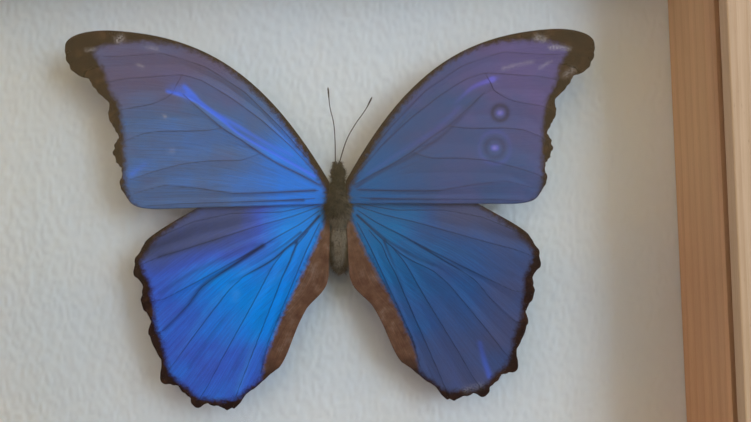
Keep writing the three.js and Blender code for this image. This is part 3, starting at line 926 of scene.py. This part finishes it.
DARK_RINGS = {
    "forewing_left": [(43.5, 12.5, 2.0, 0.7, 0.2)],
    "forewing_right": [
        (44, 21.5, 2.0, 0.8, 0.75),
        (42.4, 12.3, 2.5, 0.8, 0.45),
        (42.4, 12.3, 4.2, 0.8, -0.25),
    ],
}
# Painted sheen: broad bands that make the left forewing more azure along its bright streaks.
PAINTED_SHEEN_STROKES = [
    ([(6, 5), (25, 16), (40, 26)], 3.0, 0.2, 0.1),
    ([(38, 12), (52, 8)], 3.0, 0.1, 0.2),
]


def azure_share(name, spots):
    """How azure the blue is, from 0 at its violet outer parts to 1 near the root. The left pair is
    painted more azure and the right pair duller, as painted light from the right.
    """
    x, z = spots.T
    far = np.hypot(x, z)
    if name == "forewing_left":
        azure = 1.05 - 0.62 * step(far, 8, 34) - 0.38 * step(z, 16, 34) * step(far, 22, 52)
        azure += brushed(PAINTED_SHEEN_STROKES, spots)
    elif name == "forewing_right":
        azure = 0.95 - 0.55 * step(far, 6, 30) - 0.42 * step(far, 34, 60) * step(z, 0, 30)
    elif name == "hindwing_left":
        azure = 1.0 - 0.5 * step(np.hypot(x - 8, z + 8), 24, 42) - 1.1 * step(z, -22, -7) * step(x, 10, 30)
    else:
        azure = 1.0 - 0.5 * step(np.hypot(x - 2, z + 6), 10, 32) - 0.4 * step(np.hypot(x, z), 36, 56)
        azure -= 0.45 * step(z, -16, -6) * step(x, 14, 32)
    slow = smooth_random(x, z, 7, 5, 90 + len(name)) - 0.5
    return np.clip(azure + 0.22 * slow, 0, 1)


def wing_numbers(name, kind, spots):
    """Everything the finish needs to know about each spot of a wing."""
    blue = inside_by(FORE_BLUE if kind == "fore" else HIND_BLUE, spots)
    rib, ridge = ribs_and_ridges(kind, spots)
    pale = brushed(PALE_STROKES.get(name, []), spots) + np.zeros(len(spots))
    if name in PALE_DABS:
        pale += dabs(PALE_DABS[name], spots)
    # Painted highlights and painted shade: bright strokes along the folds, dark strokes beside the ribs, and
    # a little painted shade in every fold and highlight on every rib. The dark rings below are the real
    # eyespot rings.
    painted_light_and_eyespots = brushed(PAINTED_LIGHT_AND_PUPILS[name], spots) + 0.10 * (ridge - 0.5)
    if name in DARK_RINGS:
        painted_light_and_eyespots -= rings(DARK_RINGS[name], spots)
    brown = np.zeros(len(spots))
    if kind == "hind":
        x, z = spots.T
        brown = ((blue < 0) & (x < 21.5 - 0.2 * (z + 46)) & (z > -47.5)).astype(float) * step(z, -47.5, -42)
    return {
        "blue_mm": np.clip(blue, -8, 8),
        "azure": azure_share(name, spots),
        "painted_light_and_eyespots": np.clip(painted_light_and_eyespots, -1, 1),
        "rib_mm": np.clip(rib, 0, 5),
        "pale": np.clip(pale, 0, 1),
        "brown": brown,
    }


print("marks:", {name: len(strokes) for name, strokes in PAINTED_LIGHT_AND_PUPILS.items()})

# %% [markdown]
# ## Wings: the finish
# The colour goes from violet to azure by the azure number, broken up by fine streaks that run along
# the rows of scales. Painted highlights lighten it and painted shade darkens it, the ribs are dark
# lines, and everything outside the blue field is brown, with a ragged edge where scales of both
# colours mix.

# %% Wing finish
def wing_finish(name, outer, middle, inner, highlight_and_pupil_colour):
    w = Finish(name)
    spot, flow = w.place(), w.place(source="UV")
    rows = w.node("Mapping", {"Vector": flow, "Scale": (5, 130, 1)}).outputs["Vector"]
    fine = w.node("Mapping", {"Vector": flow, "Scale": (40, 420, 1)}).outputs["Vector"]
    streak, hair = w.noise(rows, 1.0, 3, 0.6), w.noise(fine, 1.0, 2, 0.6)
    speck = w.noise(spot, 3.2, 2, 0.6)
    mottle = w.noise(spot, 0.35, 3, 0.55)

    azure = w.math("ADD", w.attribute("azure"), w.math("MULTIPLY", w.math("SUBTRACT", streak, 0.5), 0.34))
    azure = w.math("ADD", azure, w.math("MULTIPLY", w.math("SUBTRACT", mottle, 0.5), 0.22), clamp=True)
    blue = w.ramp(azure, (0.0, outer), (0.45, middle), (1.0, inner))
    blue = w.mix(w.span(streak, 0.35, 0.68, 0.22, 0.0), blue, [c * 0.45 for c in middle])
    blue = w.mix(w.span(hair, 0.3, 0.7, 0.12, 0.0), blue, [c * 0.4 for c in outer])
    painted_light_and_eyespots = w.attribute("painted_light_and_eyespots")
    # Painted highlight: above zero, the blue is mixed toward a bright colour as a painted sheen. The eyespot
    # pupils take it too.
    blue = w.mix(w.span(painted_light_and_eyespots, 0.0, 1.0, 0.0, 0.85), blue, highlight_and_pupil_colour)
    # Painted shade: below zero, the blue is darkened as painted shade beside the ribs and in the folds. The
    # dark eyespot rings are darkened the same way.
    painted_shade_and_rings = w.math("MULTIPLY", painted_light_and_eyespots, -1.0)
    blue = w.mix(w.span(painted_shade_and_rings, 0.0, 1.0, 0.0, 0.85), blue, [c * 0.22 for c in outer])
    rib = w.span(w.attribute("rib_mm"), 0.02, 0.24, 0.58, 0.0)
    blue = w.mix(rib, blue, [c * 0.2 + 0.004 for c in outer])

    ragged = w.math("MULTIPLY", w.math("SUBTRACT", w.noise(spot, 0.9, 4, 0.65), 0.5), 2.6)
    edge = w.math("ADD", w.attribute("blue_mm"), ragged)
    field = w.span(edge, -1.1, 1.0)
    margin = w.ramp(mottle, (0.3, shade(42, 24, 17)), (0.55, shade(54, 32, 20)), (0.75, shade(80, 52, 32)))
    margin = w.mix(w.span(speck, 0.4, 0.7, 0.0, 0.45), margin, shade(30, 20, 15))
    down = w.ramp(mottle, (0.3, shade(96, 64, 46)), (0.55, shade(120, 86, 64)), (0.75, shade(142, 116, 100)))
    down = w.mix(w.span(streak, 0.35, 0.7, 0.4, 0.0), down, shade(66, 44, 32))
    dark = w.mix(w.attribute("brown"), margin, down)
    dark = w.mix(w.span(w.attribute("rib_mm"), 0.1, 0.5, 0.5, 0.0), dark, shade(40, 26, 18))
    colour = w.mix(field, dark, blue)
    worn = w.span(w.noise(spot, 2.2, 4, 0.7), 0.38, 0.62, 0.1, 0.75)
    rubbed = w.math("MULTIPLY", w.attribute("pale"), worn)
    colour = w.mix(rubbed, colour, shade(186, 178, 176))

    rough = w.mix(field, (0.8, 0.8, 0.8), (0.5, 0.5, 0.5))
    relief_map = w.math("ADD", w.math("MULTIPLY", streak, 0.6), w.math("MULTIPLY", hair, 0.4))
    w.set(
        Base_Color=colour,
        Roughness=w.math("ADD", rough, w.math("MULTIPLY", w.math("SUBTRACT", speck, 0.5), 0.2)),
        Metallic=w.math("MULTIPLY", field, 0.12),
        Normal=w.bump(relief_map, 0.10, 0.5),
    )
    w.shader.inputs["Specular IOR Level"].default_value = 0.07
    return w.material


# Each wing's blue from its violet outer parts, over the middle, to the azure root, and its painted
# highlight colour. The left pair's blues are painted brighter and the right pair's darker, as painted
# light and painted shade.
WING_BLUES_AND_PAINTED_LIGHT = {
    "forewing_left": ((0.13, 0.10, 0.20), (0.07, 0.155, 0.35), (0.0, 0.24, 0.95), (0.055, 0.19, 1.0)),
    "forewing_right": ((0.12, 0.086, 0.24), (0.04, 0.09, 0.235), (0.0, 0.118, 0.34), (0.13, 0.12, 0.62)),
    "hindwing_left": ((0.08, 0.105, 0.24), (0.06, 0.14, 0.68), (0.0, 0.32, 1.0), (0.09, 0.42, 1.0)),
    "hindwing_right": ((0.088, 0.095, 0.19), (0.042, 0.108, 0.29), (0.006, 0.17, 0.42), (0.08, 0.14, 0.62)),
}
print("four wing finishes:", ", ".join(WING_BLUES_AND_PAINTED_LIGHT))

# %% [markdown]
# ## Wings: making the four pieces
# Each wing starts as a flat grid with about half a millimetre between its lines. Its points are
# laid over the wing, it is given a thickness, and its veins are added as thin tapering tubes that
# lie along the ribs. The forewings lie in front of the hind wings, as a setter pins them.

# %% Wing pieces
def tube(name, points, radii, sides=6):
    """A closed round tube through points in metres, with a radius in mm at each."""
    data = bpy.data.curves.new(name, "CURVE")
    data.dimensions = "3D"
    data.bevel_depth = MM
    data.bevel_resolution = max(0, sides // 2 - 2)
    data.use_fill_caps = True
    spline = data.splines.new("POLY")
    spline.points.add(len(points) - 1)
    for knot, place, radius in zip(spline.points, points, radii):
        knot.co = (*place, 1)
        knot.radius = radius
    thing = bpy.data.objects.new(name, data)
    bpy.context.collection.objects.link(thing)
    select_only(thing)
    bpy.ops.object.convert(target="MESH")
    return bpy.context.active_object


# How much each wing is stretched across and along, so that it has its own reach.
WING_THICK = 0.12  # mm
HIND_LEVEL, FORE_LEVEL = 0.55, -0.75  # mm behind the specimen's middle plane; minus is in front
STRETCH = {
    "forewing_left": (0.988, 1.0),
    "forewing_right": (0.981, 1.0),
    "hindwing_left": (0.988, 0.997),
    "hindwing_right": (1.0, 0.983),
}


def number_wing(thing, name, kind, spots):
    for key, values in wing_numbers(name, kind, spots).items():
        number = thing.data.attributes.new(key, "FLOAT", "POINT")
        number.data.foreach_set("value", values.astype(np.float32))


def wing(name, kind, outline, corners, level, columns, rows):
    mirror = -1 if name.endswith("left") else 1
    bpy.ops.object.select_all(action="DESELECT")
    bpy.ops.mesh.primitive_grid_add(x_subdivisions=columns, y_subdivisions=rows, size=1, calc_uvs=True)
    sheet = added(name + "_scaled")
    share = coordinates(sheet.data)
    spots = span_sides(outline, corners, share[:, 0] + 0.5, share[:, 1] + 0.5)
    seed = 1 if mirror < 0 else 2
    forward = relief(kind, spots, seed)
    stretch_x, stretch_z = STRETCH[name]
    lay(sheet.data, to_frame(mirror * stretch_x * spots[:, 0], level - forward, stretch_z * spots[:, 1]))
    number_wing(sheet, name, kind, spots)
    bpy.ops.object.mode_set(mode="EDIT")
    bpy.ops.mesh.select_all(action="SELECT")
    if mirror < 0:
        bpy.ops.mesh.flip_normals()
    bpy.ops.object.mode_set(mode="OBJECT")
    facing = np.mean([p.normal.y for p in sheet.data.polygons])
    apply_modifier(sheet, "SOLIDIFY", thickness=WING_THICK * MM, offset=-1.0, use_even_offset=False)
    select_only(sheet)
    bpy.ops.object.shade_smooth()

    finish = wing_finish(name + "_scales", *WING_BLUES_AND_PAINTED_LIGHT[name])
    sheet.data.materials.append(finish)
    tubes = []
    for vein in FORE_VEINS if kind == "fore" else HIND_VEINS:
        line = walk(rounded(vein), np.linspace(0, 1, 40))
        heights = relief(kind, line, seed)
        places = to_frame(mirror * stretch_x * line[:, 0], level - heights - 0.02, stretch_z * line[:, 1])
        radii = np.interp(np.linspace(0, 1, len(line)), (0, 0.15, 1), (0.05, 0.11, 0.04))
        rod = tube(name + "_vein", places, radii)
        rod.data.materials.append(finish)
        where = to_specimen(coordinates(rod.data))
        flat = np.stack([mirror * where[:, 0] / stretch_x, where[:, 2] / stretch_z], axis=-1)
        number_wing(rod, name, kind, flat)
        tubes.append(rod)
    select_only(sheet, *tubes)
    bpy.ops.object.join()
    print(f"{name}: facing {facing:+.2f}, slots {[m.name for m in sheet.data.materials]}")
    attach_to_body(sheet, "root")
    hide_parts(name)
    return sheet


for side in ("left", "right"):
    wing("hindwing_" + side, "hind", HINDWING, HINDWING_CORNERS, HIND_LEVEL, 120, 165)
    wing("forewing_" + side, "fore", FOREWING, FOREWING_CORNERS, FORE_LEVEL, 150, 110)

# %% [markdown]
# ## Body: the shape under the fur
# A butterfly's body is a small head, a barrel of a thorax full of flight muscle, and a ringed
# abdomen that droops to the back. Each is a sphere stretched and turned in place. A voxel remesh
# grows them into one skin, and a ripple along the abdomen gives its rings.

# %% Body core
def egg(radii, place, droop=0.0):
    """A stretched sphere in specimen mm. droop turns its rear end to the back, in radians."""
    bpy.ops.object.select_all(action="DESELECT")
    bpy.ops.mesh.primitive_uv_sphere_add(segments=32, ring_count=20, radius=1)
    part = added("egg")
    x, y, z = (coordinates(part.data) * np.array(radii)).T
    c, s = math.cos(droop), math.sin(droop)
    turned = np.stack([x, y * c - z * s, y * s + z * c], axis=-1) + np.array(place)
    lay(part.data, to_frame(*turned.T))
    return part


DROOP = 0.3  # radians
RING_GAP = 1.55  # mm, from one ring of the abdomen to the next
eggs = [
    egg((2.45, 3.1, 6.0), (0, 0.9, -1.8)),
    egg((1.3, 1.7, 1.8), (0.2, 0.4, 5.7)),
    egg((2.5, 2.0, 6.9), (0.2, 1.2 + 6.6 * math.sin(DROOP), -7.4 - 6.6 * math.cos(DROOP)), DROOP),
    egg((0.6, 0.8, 1.0), (-0.85, 0.2, 6.2)),
    egg((0.6, 0.8, 1.0), (1.15, 0.2, 6.2)),
    egg((0.4, 0.5, 1.5), (-0.6, 0.4, 7.8)),
    egg((0.4, 0.5, 1.5), (0.75, 0.4, 7.8)),
]
select_only(*eggs)
bpy.ops.object.join()
core = added("body_core")
apply_modifier(core, "REMESH", mode="VOXEL", voxel_size=0.26 * MM)
apply_modifier(core, "SMOOTH", factor=0.6, iterations=6)

skin = to_specimen(coordinates(core.data))
rear = step(-skin[:, 2], 8, 10)
ripple = 1 - 0.05 * rear * (0.5 + 0.5 * np.cos(2 * math.pi * skin[:, 2] / RING_GAP)) ** 3
skin[:, 0] *= ripple
lay(core.data, to_frame(*skin.T))
select_only(core)
bpy.ops.object.shade_smooth()

hide = Finish("body_skin")
soft = hide.noise(hide.place(), 1.1, 4, 0.6)
SKIN_TONES = ((0.3, shade(66, 56, 45)), (0.6, shade(96, 84, 68)), (0.8, shade(116, 102, 84)))
hide.set(
    Base_Color=hide.ramp(soft, *SKIN_TONES),
    Roughness=0.9,
    Normal=hide.bump(soft, 0.2, 0.6),
)
attach(core, hide.material, "body_fur", "butterfly_body")

# %% [markdown]
# ## Body: fur
# The thorax is clothed in long soft hairs combed back over the wing roots, the head in short tufts
# and the abdomen in short paler down. A particle system would make hairs that an export can't keep,
# so one tapered hair is modelled, then bent and copied many times, each copy with its own root,
# lean, length and tone.

# %% One hair, many times
bpy.ops.object.select_all(action="DESELECT")
bpy.ops.mesh.primitive_cone_add(
    vertices=3, radius1=1, radius2=0.55, depth=1, end_fill_type="NGON", location=(0, 0, 0.5)
)
hair = added("hair")
settle(hair)
bpy.ops.object.mode_set(mode="EDIT")
bpy.ops.mesh.select_mode(type="FACE")
bpy.ops.mesh.select_all(action="DESELECT")
bpy.ops.object.mode_set(mode="OBJECT")
for face in hair.data.polygons:
    face.select = face.normal.z > 0.9
bpy.ops.object.mode_set(mode="EDIT")
bpy.ops.mesh.extrude_region_move(TRANSFORM_OT_translate={"value": (0, 0, 1)})
bpy.ops.mesh.merge(type="CENTER")
bpy.ops.object.mode_set(mode="OBJECT")
hair_points = coordinates(hair.data)
hair_points[:, 2] /= hair_points[:, 2].max()
hair_faces = [tuple(p.vertices) for p in hair.data.polygons]
bpy.data.objects.remove(hair)
print("one hair:", len(hair_points), "points,", len(hair_faces), "faces")


def fur_piece(name, roots, leans, bends, lengths, widths, tones):
    """Copies the hair to every root. leans and bends are directions, sizes are in mm."""
    leans = leans / np.linalg.norm(leans, axis=1, keepdims=True)
    aside = np.cross(leans, rng.normal(size=leans.shape))
    aside /= np.linalg.norm(aside, axis=1, keepdims=True)
    other = np.cross(leans, aside)
    across_a, across_b, t = (hair_points[:, k][None, :, None] for k in range(3))
    reach = lengths[:, None, None]
    thick = widths[:, None, None]
    spots = (
        roots[:, None, :]
        + leans[:, None, :] * t * reach
        + bends[:, None, :] * (t**2) * reach
        + (aside[:, None, :] * across_a + other[:, None, :] * across_b) * thick
    )
    count = len(hair_points)
    faces = [tuple(i * count + k for k in face) for i in range(len(roots)) for face in hair_faces]
    mesh = bpy.data.meshes.new(name)
    mesh.from_pydata(to_frame(*spots.reshape(-1, 3).T).tolist(), [], faces)
    for key, values in (("tone", np.repeat(tones, count)), ("reach", np.tile(hair_points[:, 2], len(roots)))):
        number = mesh.attributes.new(key, "FLOAT", "POINT")
        number.data.foreach_set("value", values.astype(np.float32))
    piece = bpy.data.objects.new(name, mesh)
    bpy.context.collection.objects.link(piece)
    select_only(piece)
    bpy.ops.object.mode_set(mode="EDIT")
    bpy.ops.mesh.select_all(action="SELECT")
    bpy.ops.mesh.normals_make_consistent(inside=False)
    bpy.ops.object.mode_set(mode="OBJECT")
    bpy.ops.object.shade_smooth()
    return piece


def skin_roots(count):
    """Random places on the front and sides of the skin, in specimen mm, and how it faces there."""
    mesh = core.data
    mesh.calc_loop_triangles()
    corners = to_specimen(coordinates(mesh))
    tris = np.array([t.vertices[:] for t in mesh.loop_triangles])
    a, b, c = corners[tris[:, 0]], corners[tris[:, 1]], corners[tris[:, 2]]
    facing = np.cross(b - a, c - a)
    area = np.linalg.norm(facing, axis=1)
    facing = facing / area[:, None]
    weight = area * (facing[:, 1] < 0.35)
    picks = rng.choice(len(tris), size=count, p=weight / weight.sum())
    r1, r2 = np.sqrt(rng.random(count))[:, None], rng.random(count)[:, None]
    return (1 - r1) * a[picks] + r1 * (1 - r2) * b[picks] + r1 * r2 * c[picks], facing[picks]


HAIRS = 15000
PALE_TUFTS = [
    (2.1, -3.4, 1.4, 0.4),
    (1.6, -0.8, 0.8, 0.25),
    (-2.1, 4.6, 0.8, 0.5),
    (-2.4, -9.6, 1.3, 0.55),
    (0, -14, 3, 0.12),
]
DARK_WHORL = (2.0, -3.2, 1.0, 0.4, 1.0)
roots, facing = skin_roots(HAIRS)
z = roots[:, 2]
on_head = step(z, 4.2, 5.2)
on_rear = step(-z, 3.4, 6.2)
on_thorax = 1 - on_head - on_rear
sideways = 0.55 * np.sign(roots[:, 0]) * np.abs(roots[:, 0] / 3) ** 1.2
comb = np.stack([sideways, -0.15 + 0 * z, -0.9 + 1.7 * on_head], axis=-1)
leans = facing * (0.55 + 0.35 * rng.random(HAIRS))[:, None] + comb + 0.35 * rng.normal(size=(HAIRS, 3))
bends = 0.35 * rng.normal(size=(HAIRS, 3)) + np.array([0, 0.35, -0.15])
lengths = (2.1 * on_thorax + 1.0 * on_head + 1.0 * on_rear) * rng.uniform(0.55, 1.15, HAIRS)
widths = rng.uniform(0.05, 0.095, HAIRS)
x = roots[:, 0]
clump = smooth_random(x, z, 0.7, 0.9, 61) - 0.5
tones = 0.23 * on_thorax + 0.06 * on_head + 0.9 * on_rear + 0.16 * rng.normal(size=HAIRS) + 0.5 * clump
pairs = np.stack([x, z], axis=-1)
tones += dabs(PALE_TUFTS, pairs)
tones -= 0.25 * rings([DARK_WHORL], pairs)
fur = fur_piece("body_fur", roots, leans, bends, lengths, widths, np.clip(tones, 0, 1))

pelt = Finish("body_fur")
paler_tip = pelt.math("MULTIPLY", pelt.attribute("reach"), 0.10)
tone = pelt.math("ADD", pelt.attribute("tone"), paler_tip, clamp=True)
pelt.set(
    Base_Color=pelt.ramp(
        tone,
        (0.0, shade(26, 22, 18)),
        (0.25, shade(68, 58, 46)),
        (0.5, shade(104, 88, 70)),
        (0.75, shade(134, 118, 96)),
        (1.0, shade(176, 162, 140)),
    ),
    Roughness=0.75,
)
pelt.shader.inputs["Specular IOR Level"].default_value = 0.3
attach(fur, pelt.material, "body_fur", "butterfly_body")

# %% [markdown]
# ## Antennae
# Each antenna is a fine dark rod, built of many short rings and a little thicker near its tip. A
# tube is laid along a route of five points, and its radius swells and narrows at every ring.

# %% Antenna pieces
ANTENNA_RINGS = 52
ANTENNAE = {
    "left": [(-0.45, -1.4, 8.2), (-0.4, -2.0, 14), (-0.7, -2.1, 19), (-1.6, -2.2, 23.2), (-2.0, -2.4, 28.1)],
    "right": [(0.45, -1.4, 8.3), (2.5, -2.0, 14.4), (4.8, -2.1, 18.5), (7.6, -2.2, 22.4), (9.3, -2.4, 25.5)],
}
horn = Finish("antenna_horn")
band = horn.noise(horn.place(), 1.6, 2)
horn.set(Base_Color=horn.ramp(band, (0.3, shade(26, 20, 18)), (0.7, shade(58, 44, 36))), Roughness=0.5)
for side, route in ANTENNAE.items():
    smooth = rounded(route, count=12)
    t = np.linspace(0, 1, 260)
    line = walk(smooth, t)
    club = 0.11 * step(t, 0.82, 0.95) * (1 - 0.6 * step(t, 0.97, 1.0))
    radii = (0.15 - 0.03 * t + club) * (1 + 0.10 * np.cos(2 * math.pi * t * ANTENNA_RINGS))
    feeler = tube("antenna_" + side + "_ringed", to_frame(*line.T), radii, 8)
    select_only(feeler)
    bpy.ops.object.shade_smooth()
    attach(feeler, horn.material, "antenna_horn", "antenna_" + side)
